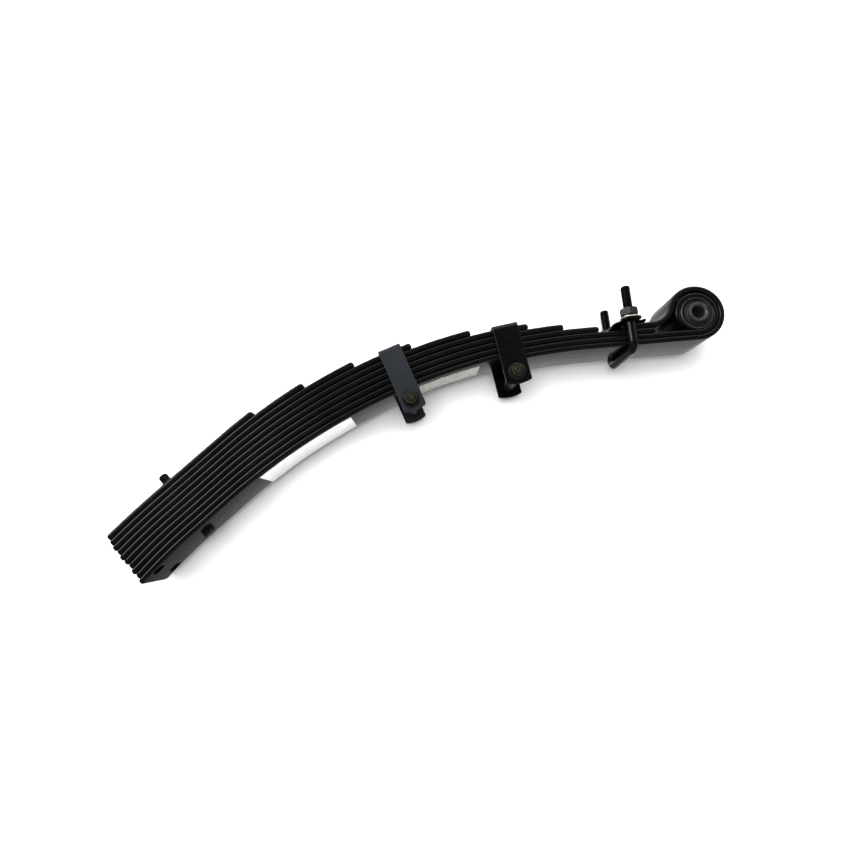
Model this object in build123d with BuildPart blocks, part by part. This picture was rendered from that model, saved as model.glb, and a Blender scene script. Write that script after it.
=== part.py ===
from build123d import *
from math import asin, cos, degrees, radians, sin, sqrt
import os

# Quarter-elliptic leaf spring for a light vehicle, lying on its side.
# X runs along the straight clamped seat towards the eye, Y points to the short-leaf
# side, Z runs across the leaves. The origin is on the centre bolt's axis, on the
# seat face of the main leaf, at the middle of the width. Millimetres and degrees.

# Leaves
leaf_width = 60.0
leaf_thickness = 6.0
leaf_edge_radius = 2.4
leaf_pitch = 6.05
clamped_length = 75.5

# Main leaf centre line: straight seat, one arc, straight run to the eye
seat_straight = 43.0
main_radius = 650.0
main_bend = 37.7
eye_run = 120.5

# Each leaf further out stays straight a little longer and bends a little tighter
straight_step = 4.13
radius_step = -5.28

# Own bend and straight end of each short leaf, from leaf 2 out to leaf 10
short_leaves = [
    (main_bend, 76.0),
    (main_bend, 18.0),
    (36.2, 0.0),
    (33.0, 0.0),
    (27.4, 0.0),
    (21.4, 0.0),
    (15.3, 0.0),
    (9.7, 0.0),
    (3.7, 0.0),
]

# Eye and the wrapper leaf around it
eye_bore_radius = 18.0
eye_turn = 314.0
wrapper_gap = 0.1
wrapper_start_bend = 29.3
wrapper_radius = 27.8
wrapper_return_radius = 25.0
wrapper_tail_height = 12.7
wrapper_tip = 35.0

# Holes in the leaves
centre_hole_radius = 5.5
end_hole_radius = 6.5
end_hole_inset = 18.5
end_hole_spacing = 38.0

# Centre bolt, M10 with a round locating head
centre_bolt_radius = 5.0
centre_head_radius = 7.0
centre_head_height = 5.5
centre_bolt_top = 78.5

# Nuts: across flats and height
m10_flats = 17.0
m10_height = 8.0
m8_flats = 13.0
m8_height = 6.5

# Rebound clips: U-shaped straps with a bolt and distance tube below the leaves
strap_thickness = 3.2
strap_bend_radius = 6.0
strap_side_gap = 1.0
strap_top_gap = 0.3
clip_bolt_radius = 4.0
clip_hole_radius = 4.3
clip_head_height = 5.3
leg_end_drop = 13.3
leg_end_sagitta = 2.5
tube_radius = 7.0
clip_washer_radius = 9.5
clip_washer_thickness = 1.6
clip_thread_end = 3.5
rivet_radius = 4.0
rivet_fit = 0.15
rivet_head_radius = 7.0
rivet_head_height = 3.6
rivet_sink_radius = 5.6
rivet_sink_depth = 1.8
front_clip = {"bend": 19.3, "level": 6, "width": 25.0, "bolt_height": -15.7}
eye_clip = {"bend": 29.9, "level": 4, "width": 28.0, "bolt_height": -22.8}

# U-bolt and clamp plate that hold the wrapper's tail
u_bolt_run = 43.0
u_bolt_radius = 5.0
u_bolt_bend_radius = 8.5
u_bolt_side_gap = 1.0
u_bolt_top = 55.0
plate_thickness = 2.6
plate_flat = (34.5, 51.0)
plate_foot_radius = 12.3
plate_foot_turn = 50.0
plate_foot_run = 3.1
plate_flare_radius = 60.0
plate_flare_turn = 8.0
plate_flare_run = 4.0
plate_ear = (20.0, 10.0, 4.0)
plate_hole_radius = 5.5
flat_washer_radius = 10.0
flat_washer_thickness = 1.4
spring_washer_radius = 8.8
spring_washer_thickness = 1.8
spring_washer_gap = 1.2

# Eye bush: steel shell, rubber and inner sleeve
shell_radius = 17.96
shell_wall = 1.6
rubber_gap = 0.05
sleeve_radius = 11.0
sleeve_bore_radius = 7.1
sleeve_length = 68.0
rubber_length = 62.0
rubber_groove_depth = 2.5
rubber_groove_width = 2.6

# Labels on the seat side of the main leaf: bend range and width across the leaf
label_thickness = 0.3
label_gap = 0.05
blank_label = (3.3, 13.4, 53.0, -2.5)
print_label = (20.6, 26.8, 36.0, 1.0)

half_width = leaf_width / 2
half_thickness = leaf_thickness / 2
bend_centre = Vector(seat_straight, half_thickness - main_radius)
eye_radius = eye_bore_radius + half_thickness
leg_centre = half_width + strap_side_gap + strap_thickness / 2
u_leg_offset = half_width + u_bolt_side_gap + u_bolt_radius
rivet_dome_radius = (rivet_head_radius**2 + rivet_head_height**2) / (2 * rivet_head_height)


def frame_at(bend, run=0.0):
    """Plane on the main leaf's centre line: x along the leaf, y towards the short leaves."""
    angle = radians(bend)
    outward = Vector(sin(angle), cos(angle))
    along = Vector(cos(angle), -sin(angle))
    point = bend_centre + outward * main_radius + along * run
    return Plane(origin=point, x_dir=along, z_dir=(0, 0, 1))


def leaf_offset(level, bend):
    """Distance of a leaf's centre line from the main leaf's, at a given bend."""
    angle = radians(bend)
    opening = radius_step * (1 - cos(angle)) + straight_step * sin(angle)
    return level * (opening + leaf_pitch * cos(angle))


def place(point_frame, x, y, z=0.0):
    """Row-frame point from coordinates in a local frame."""
    return point_frame.from_local_coords(Vector(x, y, z))


def section(start, tangent):
    """Plane across a leaf, for its rounded bar section."""
    return Plane(origin=start, x_dir=(0, 0, 1), z_dir=tangent)


def bar_section(plane):
    """The rounded flat-bar section of every leaf, on a plane across it."""
    with BuildSketch(plane) as bar:
        Rectangle(leaf_width, leaf_thickness)
        fillet(bar.vertices(), leaf_edge_radius)
    return bar.sketch


def centre_hole(level):
    """Hole for the centre bolt through the leaf at this level."""
    middle = half_thickness + level * leaf_pitch
    with Locations(Plane(origin=(0, middle, 0), x_dir=(1, 0, 0), z_dir=(0, 1, 0))):
        Cylinder(centre_hole_radius, 2 * leaf_thickness, mode=Mode.SUBTRACT)


def radial_hole(clip_frame, height, radius, depth, sink=0.0):
    """Hole along a clip frame's y axis, with an optional countersink at its foot."""
    foot = place(clip_frame, 0, height)
    with Locations(Plane(origin=foot, x_dir=(0, 0, 1), z_dir=clip_frame.y_dir)):
        Cylinder(radius, 2 * depth, mode=Mode.SUBTRACT)
        if sink > 0:
            with Locations((0, 0, sink / 2)):
                Cone(radius + sink, radius, sink, mode=Mode.SUBTRACT)


def hex_nut(plane, flats, height, bore):
    """Chamfered hexagon nut standing on a plane."""
    with BuildPart() as nut:
        with BuildSketch(plane):
            RegularPolygon(flats / 2, 6, major_radius=False)
            Circle(bore, mode=Mode.SUBTRACT)
        extrude(amount=height)
        with BuildSketch(plane):
            Circle(flats / 2)
        extrude(amount=height, taper=-30, mode=Mode.INTERSECT)
        with BuildSketch(plane.offset(height)):
            Circle(flats / 2)
        extrude(amount=-height, taper=-30, mode=Mode.INTERSECT)
    return nut


def ring(plane, outer, inner, thickness):
    """Flat ring standing on a plane."""
    with BuildPart() as made:
        with BuildSketch(plane):
            Circle(outer)
            Circle(inner, mode=Mode.SUBTRACT)
        extrude(amount=thickness)
    return made


def group(pieces):
    """Separate solids that share one node."""
    return Compound(children=[piece for made in pieces for piece in made.solids()])


os.makedirs("parts", exist_ok=True)

clips = {"front_clip": front_clip, "eye_clip": eye_clip}
rivet_bends = {clip["level"]: clip["bend"] for clip in clips.values()}

# Short leaves
for number, (bend, run) in enumerate(short_leaves, start=2):
    level = number - 1
    height = half_thickness + level * leaf_pitch
    straight_end = seat_straight + level * straight_step
    radius = main_radius + level * radius_step
    with BuildPart() as short_leaf:
        with BuildLine() as short_line:
            seat = Line((-clamped_length, height), (straight_end, height))
            curve = JernArc(seat @ 1, seat % 1, radius, -bend)
            if run > 0:
                Line(curve @ 1, curve @ 1 + (curve % 1) * run)
        sweep(sections=bar_section(section(seat @ 0, seat % 0)), path=short_line.line)
        centre_hole(level)
        if level in rivet_bends:
            bend_there = rivet_bends[level]
            foot = leaf_offset(level, bend_there) - half_thickness
            hole_radius = rivet_radius + rivet_fit
            radial_hole(frame_at(bend_there), foot, hole_radius, 2 * leaf_thickness, rivet_sink_depth)
    short_leaf.part.label = f"leaf_{number}"
    export_step(short_leaf.part, f"parts/leaf_{number}.step")

# Main leaf with its turned-up eye
with BuildPart() as main_leaf:
    with BuildLine() as main_line:
        main_seat = Line((-clamped_length, half_thickness), (seat_straight, half_thickness))
        main_curve = JernArc(main_seat @ 1, main_seat % 1, main_radius, -main_bend)
        main_run = Line(main_curve @ 1, main_curve @ 1 + (main_curve % 1) * eye_run)
        JernArc(main_run @ 1, main_run % 1, eye_radius, eye_turn)
    sweep(sections=bar_section(section(main_seat @ 0, main_seat % 0)), path=main_line.line)
    centre_hole(0)
    end_hole_centre = (end_hole_inset - clamped_length, half_thickness, 0)
    end_holes = Plane(origin=end_hole_centre, x_dir=(0, 0, 1), z_dir=(0, 1, 0))
    with BuildSketch(end_holes):
        with GridLocations(end_hole_spacing, 0, 2, 1):
            Circle(end_hole_radius)
    extrude(amount=leaf_thickness, both=True, mode=Mode.SUBTRACT)
main_leaf.part.label = "main_leaf"
export_step(main_leaf.part, "parts/main_leaf.step")

# Wrapper leaf: from under the eye clip, round the eye and back to the U-bolt
tail_frame = frame_at(main_bend)
eye_frame = frame_at(main_bend, eye_run)
wrapper_offset = -(leaf_thickness + wrapper_gap)
wrap_centre_height = wrapper_offset + wrapper_radius
return_height = wrapper_tail_height + wrapper_return_radius
centre_distance = wrapper_radius + wrapper_return_radius
rise = return_height - wrap_centre_height
turn_in = degrees(asin(rise / centre_distance))
centre_run = sqrt(centre_distance**2 - rise**2)
tail_flat = eye_run - centre_run - wrapper_tip
with BuildPart() as wrapper:
    with BuildLine() as wrapper_line:
        start_frame = frame_at(wrapper_start_bend)
        wrap_start = place(start_frame, 0, wrapper_offset)
        under = JernArc(
            wrap_start, start_frame.x_dir, main_radius + wrapper_offset, wrapper_start_bend - main_bend
        )
        along = Line(under @ 1, under @ 1 + (under % 1) * eye_run)
        around = JernArc(along @ 1, along % 1, wrapper_radius, 270 - turn_in)
        back = JernArc(around @ 1, around % 1, wrapper_return_radius, turn_in - 90)
        Line(back @ 1, back @ 1 + (back % 1) * tail_flat)
    sweep(sections=bar_section(section(wrap_start, start_frame.x_dir)), path=wrapper_line.line)
wrapper.part.label = "eye_wrapper"
export_step(wrapper.part, "parts/eye_wrapper.step")

# Centre bolt and nut
pack_top = len(short_leaves) * leaf_pitch + leaf_thickness
bolt_plane = Plane(origin=(0, 0, 0), x_dir=(1, 0, 0), z_dir=(0, 1, 0))
with BuildPart() as centre_bolt:
    with BuildSketch(bolt_plane):
        Circle(centre_head_radius)
    extrude(amount=-centre_head_height)
    with BuildSketch(bolt_plane):
        Circle(centre_bolt_radius)
    extrude(amount=centre_bolt_top)
    chamfer(centre_bolt.edges().group_by(Axis.Y)[-1], 1.0)
    chamfer(centre_bolt.edges().group_by(Axis.Y)[0], 0.6)
centre_bolt.part.label = "centre_bolt"
export_step(centre_bolt.part, "parts/centre_bolt.step")
centre_nut = hex_nut(bolt_plane.offset(pack_top + 0.02), m10_flats, m10_height, centre_bolt_radius + 0.05)
centre_nut.part.label = "centre_nut"
export_step(centre_nut.part, "parts/centre_nut.step")

# Rebound clips
for name, clip in clips.items():
    clip_frame = frame_at(clip["bend"])
    strap_width = clip["width"]
    bolt_height = clip["bolt_height"]
    pack_offset = leaf_offset(clip["level"], clip["bend"])
    top = pack_offset + half_thickness + strap_top_gap
    leg_end = bolt_height - leg_end_drop
    inner = half_width + strap_side_gap
    outer = inner + strap_thickness
    across = Plane(
        origin=place(clip_frame, -strap_width / 2, 0), x_dir=(0, 0, -1), z_dir=clip_frame.x_dir
    )
    with BuildPart() as strap:
        with BuildSketch(across):
            with Locations((0, (top + strap_thickness + leg_end) / 2)):
                RectangleRounded(2 * outer, top + strap_thickness - leg_end, strap_bend_radius)
            with Locations((0, (top + leg_end) / 2)):
                RectangleRounded(
                    2 * inner, top - leg_end, strap_bend_radius - strap_thickness, mode=Mode.SUBTRACT
                )
            with Locations((0, leg_end)):
                Rectangle(2 * outer + 2, 2 * strap_bend_radius, mode=Mode.SUBTRACT)
        extrude(amount=strap_width)
        with BuildSketch(across):
            for side in (-1, 1):
                with Locations((side * leg_centre, leg_end + strap_bend_radius)):
                    Rectangle(strap_thickness, 2 * strap_bend_radius)
        extrude(amount=strap_width)
        with BuildSketch(clip_frame.offset(-outer)):
            with BuildLine():
                Polyline(
                    (-strap_width / 2, leg_end + leg_end_sagitta),
                    (-strap_width / 2, top + strap_thickness),
                    (strap_width / 2, top + strap_thickness),
                    (strap_width / 2, leg_end + leg_end_sagitta),
                )
                ThreePointArc(
                    (strap_width / 2, leg_end + leg_end_sagitta),
                    (0, leg_end),
                    (-strap_width / 2, leg_end + leg_end_sagitta),
                )
            make_face()
        extrude(amount=2 * outer, mode=Mode.INTERSECT)
        with BuildSketch(clip_frame.offset(-outer)):
            with Locations((0, bolt_height)):
                Circle(clip_hole_radius)
        extrude(amount=2 * outer, mode=Mode.SUBTRACT)
        radial_hole(clip_frame, top, rivet_radius + rivet_fit, strap_thickness)
    strap.part.label = f"{name}_strap"
    export_step(strap.part, f"parts/{name}_strap.step")

    bolt_foot = place(clip_frame, 0, bolt_height)
    axis_plane = Plane(origin=bolt_foot, x_dir=clip_frame.x_dir, z_dir=(0, 0, 1))
    head_seat = axis_plane.offset(-outer - clip_washer_thickness)
    nut_seat = axis_plane.offset(outer + clip_washer_thickness)
    bolt_length = 2 * (outer + clip_washer_thickness) + m8_height + clip_thread_end
    with BuildPart() as clip_bolt:
        with BuildSketch(head_seat):
            RegularPolygon(m8_flats / 2, 6, major_radius=False)
        extrude(amount=-clip_head_height)
        with BuildSketch(head_seat):
            Circle(m8_flats / 2)
        extrude(amount=-clip_head_height, taper=-30, mode=Mode.INTERSECT)
        with BuildSketch(head_seat):
            Circle(clip_bolt_radius)
        extrude(amount=bolt_length)
        chamfer(clip_bolt.edges().group_by(Axis.Z)[-1], 0.9)
    clip_bolt.part.label = f"{name}_bolt"
    export_step(clip_bolt.part, f"parts/{name}_bolt.step")

    clip_nut = hex_nut(nut_seat, m8_flats, m8_height, clip_bolt_radius + 0.05)
    clip_nut.part.label = f"{name}_nut"
    export_step(clip_nut.part, f"parts/{name}_nut.step")

    washers = [
        ring(axis_plane.offset(-outer - clip_washer_thickness), clip_washer_radius, clip_hole_radius,
             clip_washer_thickness).part,
        ring(axis_plane.offset(outer), clip_washer_radius, clip_hole_radius, clip_washer_thickness).part,
    ]
    washers_node = group(washers)
    washers_node.label = f"{name}_washers"
    export_step(washers_node, f"parts/{name}_washers.step")

    tube = ring(axis_plane.offset(-inner + 0.05), tube_radius, clip_hole_radius, 2 * (inner - 0.05))
    tube.part.label = f"{name}_distance_tube"
    export_step(tube.part, f"parts/{name}_distance_tube.step")

    foot = pack_offset - half_thickness
    head_base = top + strap_thickness + 0.02
    rivet_plane = Plane(origin=place(clip_frame, 0, head_base), x_dir=(0, 0, 1), z_dir=clip_frame.y_dir)
    with BuildPart() as rivet:
        with BuildSketch(Plane(origin=rivet_plane.origin, x_dir=clip_frame.x_dir, z_dir=(0, 0, 1))):
            with BuildLine():
                RadiusArc((0, rivet_head_height), (rivet_head_radius, 0), rivet_dome_radius)
                Polyline(
                    (0, rivet_head_height),
                    (0, foot - head_base + 0.1),
                    (rivet_sink_radius - 0.1, foot - head_base + 0.1),
                    (rivet_radius, foot - head_base + rivet_sink_radius - rivet_radius),
                    (rivet_radius, 0),
                    (rivet_head_radius, 0),
                )
            make_face()
        revolve(axis=Axis(rivet_plane.origin, clip_frame.y_dir))
    rivet.part.label = f"{name}_rivet"
    export_step(rivet.part, f"parts/{name}_rivet.step")

# U-bolt across the wrapper, with its clamp plate, washers and nuts
u_frame = frame_at(main_bend, u_bolt_run)
u_across = Plane(origin=u_frame.origin, x_dir=(0, 0, -1), z_dir=u_frame.x_dir)
u_bottom = wrapper_offset - half_thickness - 0.3 - u_bolt_radius
with BuildPart() as u_bolt:
    with BuildLine(u_across) as u_line:
        FilletPolyline(
            (-u_leg_offset, u_bolt_top),
            (-u_leg_offset, u_bottom),
            (u_leg_offset, u_bottom),
            (u_leg_offset, u_bolt_top),
            radius=u_bolt_bend_radius,
        )
    with BuildSketch(Plane(origin=u_line.line @ 0, x_dir=u_frame.x_dir, z_dir=u_line.line % 0)):
        Circle(u_bolt_radius)
    sweep(path=u_line.line)
    chamfer(u_bolt.edges().filter_by(GeomType.CIRCLE).filter_by(
        lambda edge: abs((edge.arc_center - place(u_frame, 0, u_bolt_top)).dot(u_frame.y_dir)) < 0.1
    ), 1.0)
u_bolt.part.label = "u_bolt"
export_step(u_bolt.part, "parts/u_bolt.step")

plate_bottom = wrapper_tail_height + half_thickness + 0.1
plate_middle = plate_bottom + plate_thickness / 2
plate_top = plate_bottom + plate_thickness
ear_length, ear_overhang, ear_corner = plate_ear
with BuildPart() as clamp_plate:
    with BuildSketch(tail_frame.offset(-half_width)):
        with BuildLine():
            flat = Line((plate_flat[1], plate_middle), (plate_flat[0], plate_middle))
            foot = JernArc(flat @ 1, flat % 1, plate_foot_radius, plate_foot_turn)
            Line(foot @ 1, foot @ 1 + (foot % 1) * plate_foot_run)
            flare = JernArc(flat @ 0, (1, 0), plate_flare_radius, plate_flare_turn)
            Line(flare @ 1, flare @ 1 + (flare % 1) * plate_flare_run)
        trace(line_width=plate_thickness)
    extrude(amount=leaf_width)
    ear_plane = Plane(origin=place(u_frame, 0, plate_bottom), x_dir=u_frame.x_dir, z_dir=u_frame.y_dir)
    with BuildSketch(ear_plane):
        RectangleRounded(ear_length, 2 * (u_leg_offset + ear_overhang), ear_corner)
    extrude(amount=plate_thickness)
    with Locations(ear_plane.offset(plate_thickness / 2)):
        with GridLocations(0, 2 * u_leg_offset, 1, 2):
            Cylinder(plate_hole_radius, 2 * plate_thickness, mode=Mode.SUBTRACT)
clamp_plate.part.label = "clamp_plate"
export_step(clamp_plate.part, "parts/clamp_plate.step")

flat_washers = []
spring_washers = []
u_nuts = []
for side in (-1, 1):
    seat_point = place(u_frame, 0, plate_top, side * u_leg_offset)
    seat_plane = Plane(origin=seat_point, x_dir=u_frame.x_dir, z_dir=u_frame.y_dir)
    flat_washers.append(ring(seat_plane, flat_washer_radius, plate_hole_radius, flat_washer_thickness).part)
    spring_plane = seat_plane.offset(flat_washer_thickness)
    with BuildPart() as spring_washer:
        with BuildSketch(spring_plane):
            Circle(spring_washer_radius)
            Circle(plate_hole_radius, mode=Mode.SUBTRACT)
            with Locations(((spring_washer_radius + plate_hole_radius) / 2, 0)):
                Rectangle(spring_washer_radius, spring_washer_gap, mode=Mode.SUBTRACT)
        extrude(amount=spring_washer_thickness)
    spring_washers.append(spring_washer.part)
    nut_plane = spring_plane.offset(spring_washer_thickness)
    u_nuts.append(hex_nut(nut_plane, m10_flats, m10_height, u_bolt_radius + 0.05).part)
flat_washers_node = group(flat_washers)
flat_washers_node.label = "u_bolt_flat_washers"
export_step(flat_washers_node, "parts/u_bolt_flat_washers.step")
spring_washers_node = group(spring_washers)
spring_washers_node.label = "u_bolt_spring_washers"
export_step(spring_washers_node, "parts/u_bolt_spring_washers.step")
u_nuts_node = group(u_nuts)
u_nuts_node.label = "u_bolt_nuts"
export_step(u_nuts_node, "parts/u_bolt_nuts.step")

# Eye bush
eye_axis = Plane(origin=place(eye_frame, 0, eye_radius), x_dir=eye_frame.x_dir, z_dir=(0, 0, 1))
shell = ring(eye_axis.offset(-half_width), shell_radius, shell_radius - shell_wall, leaf_width)
shell.part.label = "bush_shell"
export_step(shell.part, "parts/bush_shell.step")
sleeve = ring(eye_axis.offset(-sleeve_length / 2), sleeve_radius, sleeve_bore_radius, sleeve_length)
sleeve.part.label = "bush_sleeve"
export_step(sleeve.part, "parts/bush_sleeve.step")
rubber_outer = shell_radius - shell_wall - rubber_gap
rubber_inner = sleeve_radius + rubber_gap
with BuildPart() as rubber:
    with BuildSketch(eye_axis.offset(-rubber_length / 2)):
        Circle(rubber_outer)
        Circle(rubber_inner, mode=Mode.SUBTRACT)
    extrude(amount=rubber_length)
    groove_middle = (rubber_outer + rubber_inner) / 2
    for end in (-1, 1):
        with BuildSketch(eye_axis.offset(end * rubber_length / 2)):
            Circle(groove_middle + rubber_groove_width / 2)
            Circle(groove_middle - rubber_groove_width / 2, mode=Mode.SUBTRACT)
        extrude(amount=-end * rubber_groove_depth, mode=Mode.SUBTRACT)
rubber.part.label = "bush_rubber"
export_step(rubber.part, "parts/bush_rubber.step")

# Labels on the seat side of the main leaf
for name, (first, last, width, shift) in (("blank_label", blank_label), ("print_label", print_label)):
    label_radius = main_radius - half_thickness - label_gap
    middle = radians((first + last) / 2)
    sweep_angle = last - first
    label_foot = bend_centre + Vector(0, 0, shift - width / 2)
    label_plane = Plane(origin=label_foot, x_dir=(sin(middle), cos(middle), 0), z_dir=(0, 0, 1))
    with BuildPart() as label:
        with BuildSketch(label_plane):
            with BuildLine():
                CenterArc((0, 0), label_radius, -sweep_angle / 2, sweep_angle)
                CenterArc((0, 0), label_radius - label_thickness, -sweep_angle / 2, sweep_angle)
                for end in (-1, 1):
                    edge_angle = radians(end * sweep_angle / 2)
                    Line(
                        (label_radius * cos(edge_angle), label_radius * sin(edge_angle)),
                        (
                            (label_radius - label_thickness) * cos(edge_angle),
                            (label_radius - label_thickness) * sin(edge_angle),
                        ),
                    )
            make_face()
        extrude(amount=width)
    label.part.label = name
    export_step(label.part, f"parts/{name}.step")
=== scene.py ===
"""Leaf spring lying on its side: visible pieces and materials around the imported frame.

Shapes are worked out in millimetres in the part's own frame and scaled to metres as they become meshes.
"""
from math import asin, atan2, ceil, cos, degrees, pi, radians, sin, sqrt, tan

import bpy
from mathutils import Matrix, Vector, noise


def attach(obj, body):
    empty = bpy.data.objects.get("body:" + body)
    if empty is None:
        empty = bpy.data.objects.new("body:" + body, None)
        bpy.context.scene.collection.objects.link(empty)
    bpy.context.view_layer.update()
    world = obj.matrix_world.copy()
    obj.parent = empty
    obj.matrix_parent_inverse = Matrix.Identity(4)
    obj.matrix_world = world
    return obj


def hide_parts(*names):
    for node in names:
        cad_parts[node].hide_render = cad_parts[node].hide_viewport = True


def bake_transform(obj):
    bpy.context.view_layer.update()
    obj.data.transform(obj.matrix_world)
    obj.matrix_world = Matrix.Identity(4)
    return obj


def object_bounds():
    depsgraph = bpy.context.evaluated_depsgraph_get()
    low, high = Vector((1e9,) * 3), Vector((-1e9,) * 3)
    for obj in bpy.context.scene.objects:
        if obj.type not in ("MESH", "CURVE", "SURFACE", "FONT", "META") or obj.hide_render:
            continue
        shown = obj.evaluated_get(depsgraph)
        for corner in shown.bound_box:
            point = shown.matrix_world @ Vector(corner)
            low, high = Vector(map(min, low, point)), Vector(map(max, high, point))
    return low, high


MM = 0.001
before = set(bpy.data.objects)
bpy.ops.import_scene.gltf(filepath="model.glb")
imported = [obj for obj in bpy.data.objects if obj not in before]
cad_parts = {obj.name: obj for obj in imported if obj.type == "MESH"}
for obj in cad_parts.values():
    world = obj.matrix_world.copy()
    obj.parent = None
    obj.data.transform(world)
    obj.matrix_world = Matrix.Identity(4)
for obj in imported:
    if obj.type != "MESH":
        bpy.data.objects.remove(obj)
cad_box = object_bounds()

# Leaf pack, as in the part: straight seat, one arc, straight run to the eye
LEAF_WIDTH = 60.0
LEAF_THICKNESS = 6.0
LEAF_EDGE = 2.5
LEAF_END = 2.7
LEAF_PITCH = 6.05
CLAMPED_LENGTH = 75.5
SEAT_STRAIGHT = 43.0
MAIN_RADIUS = 650.0
MAIN_BEND = 37.7
EYE_RUN = 120.5
# Each leaf further out has a longer straight seat and a tighter arc than the last
STRAIGHT_STEP = 4.13
RADIUS_STEP = -5.28
# Short leaves, inner to outer: bend in degrees, then straight run
SHORT_LEAVES = [
    (MAIN_BEND, 76.0),
    (MAIN_BEND, 18.0),
    (36.2, 0.0),
    (33.0, 0.0),
    (27.4, 0.0),
    (21.4, 0.0),
    (15.3, 0.0),
    (9.7, 0.0),
    (3.7, 0.0),
]
# How far each leaf's clamped end stands short of the main leaf's
END_STEPS = [0.0, 1.4, 0.3, 2.0, 0.8, 0.1, 1.5, 0.5, 1.8, 3.0]
# In looks only, the clamped ends droop over this length, by these amounts on the first and last leaf
FREE_END = 63.0
MAIN_DROOP = 4.2
LAST_DROOP = 2.0
EDGE_WANDER = 0.14
WANDER_RATE = 0.035
END_HOLE_X = -57.0
END_HOLE_Z = 19.0
END_HOLE_RADIUS = 6.5
HALF_WIDTH = LEAF_WIDTH / 2
HALF_THICKNESS = LEAF_THICKNESS / 2
BEND_CENTRE = Vector((SEAT_STRAIGHT, HALF_THICKNESS - MAIN_RADIUS))

# Eye and wrapper
EYE_RADIUS = 21.0
EYE_TURN = 317.0
WRAPPER_OFFSET = -6.1
WRAPPER_START = 29.3
WRAPPER_RADIUS = 27.8
WRAPPER_RETURN = 25.0
WRAPPER_TAIL = 12.7
WRAPPER_TIP = 35.0

# Clips: name, body, bend of the pack where they sit, level under the bridge, strap width, bolt height
CLIPS = [
    ("front_clip", "clip_span", 19.3, 6, 25.0, -15.7),
    ("eye_clip", "eye_end", 29.9, 4, 28.0, -22.8),
]
STRAP_THICKNESS = 3.2
STRAP_BEND = 6.0
STRAP_EDGE = 0.8
STRAP_END = 0.9
STRAP_INNER = HALF_WIDTH + 1.0
STRAP_OUTER = STRAP_INNER + STRAP_THICKNESS
STRAP_TOP_GAP = 0.3
LEG_SAGITTA = 2.5
LEG_END_DROP = 13.3
TUBE_RADIUS = 7.0
RIVET_RADIUS = 7.0
RIVET_RISE = 3.6

# Fasteners
THREAD_STEPS = 7
POINT_CHAMFER = 1.1
AXIS_GAP = 0.05
M8_FLATS = 13.0
M8_HEIGHT = 6.5
M8_HEAD_HEIGHT = 5.3
M8_RADIUS = 4.0
M8_PITCH = 1.25
M8_BORE = 4.05
M8_CLEARANCE = 4.3
M8_WASHER_RADIUS = 9.5
M8_WASHER_THICKNESS = 1.6
M10_FLATS = 17.0
M10_HEIGHT = 8.0
M10_RADIUS = 5.0
M10_PITCH = 1.5
M10_BORE = 5.05
M10_CLEARANCE = 5.5
M10_WASHER_RADIUS = 10.0
M10_WASHER_THICKNESS = 1.4
SPRING_WASHER_RADIUS = 8.8
SPRING_WASHER_THICKNESS = 1.8

# U-bolt and clamp plate
U_RUN = 43.0
U_BEND = 8.5
U_LEG = HALF_WIDTH + 1.0 + M10_RADIUS
U_TOP = 55.0
U_BOTTOM = WRAPPER_OFFSET - HALF_THICKNESS - 0.3 - M10_RADIUS
U_THREAD = 36.0
U_THREAD_DEPTH = 0.9
PLATE_THICKNESS = 2.6
PLATE_BOTTOM = WRAPPER_TAIL + HALF_THICKNESS + 0.1
PLATE_TOP = PLATE_BOTTOM + PLATE_THICKNESS
# Along the leaf from the end of its arc: the flat part, a lifted tab beyond it and a foot before it
PLATE_FLAT = (34.5, 51.0)
PLATE_LIFT_RADIUS = 60.0
PLATE_LIFT_TURN = 8.0
PLATE_TAB = 4.0
PLATE_FOOT_RADIUS = 12.3
PLATE_FOOT_TURN = 50.0
PLATE_FOOT_RUN = 3.1
PLATE_EDGE = 0.5
EAR_REACH = 10.0
EAR_HALF = 10.0
EAR_CORNER = 4.0

# Centre bolt
CENTRE_HEAD_RADIUS = 7.0
CENTRE_HEAD_HEIGHT = 5.5
CENTRE_BOLT_TOP = 78.5
CENTRE_NUT_FOOT = 60.47

# Bush
SHELL_OUTER = 17.96
SHELL_INNER = 16.36
SLEEVE_OUTER = 11.0
SLEEVE_BORE = 7.1
SLEEVE_HALF = 34.0
RUBBER_HALF = 31.0
RUBBER_HOLLOW = 2.4
RUBBER_GAP = 0.05


# ---------------------------------------------------------------- shapes


def frame_at(bend, run=0.0):
    """Matrix on the main leaf's centre line: x along it, y towards the short leaves, z across it."""
    angle = radians(bend)
    along = Vector((cos(angle), -sin(angle), 0))
    outward = Vector((sin(angle), cos(angle), 0))
    point = BEND_CENTRE.to_3d() + outward * MAIN_RADIUS + along * run
    return matrix_of(point, along, outward, Vector((0, 0, 1)))


def matrix_of(origin, x_axis, y_axis, z_axis):
    """4x4 matrix from an origin and three axes."""
    turned = Matrix((x_axis, y_axis, z_axis)).transposed().to_4x4()
    turned.translation = origin
    return turned


UP_FROM_SEAT = matrix_of(Vector((0, 0, 0)), Vector((1, 0, 0)), Vector((0, 0, -1)), Vector((0, 1, 0)))


def point_at(station):
    """Point on the main leaf's centre line, in metres, at a distance from the centre bolt."""
    bend = degrees(max(station - SEAT_STRAIGHT, 0.0) / MAIN_RADIUS)
    placed = frame_at(bend) @ Vector((min(station - SEAT_STRAIGHT, 0.0), 0, 0))
    return tuple(placed * MM)


def leaf_offset(level, bend):
    """Distance of a leaf's centre line from the main leaf's, at a given bend."""
    angle = radians(bend)
    return level * (RADIUS_STEP * (1 - cos(angle)) + STRAIGHT_STEP * sin(angle) + LEAF_PITCH * cos(angle))


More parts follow.
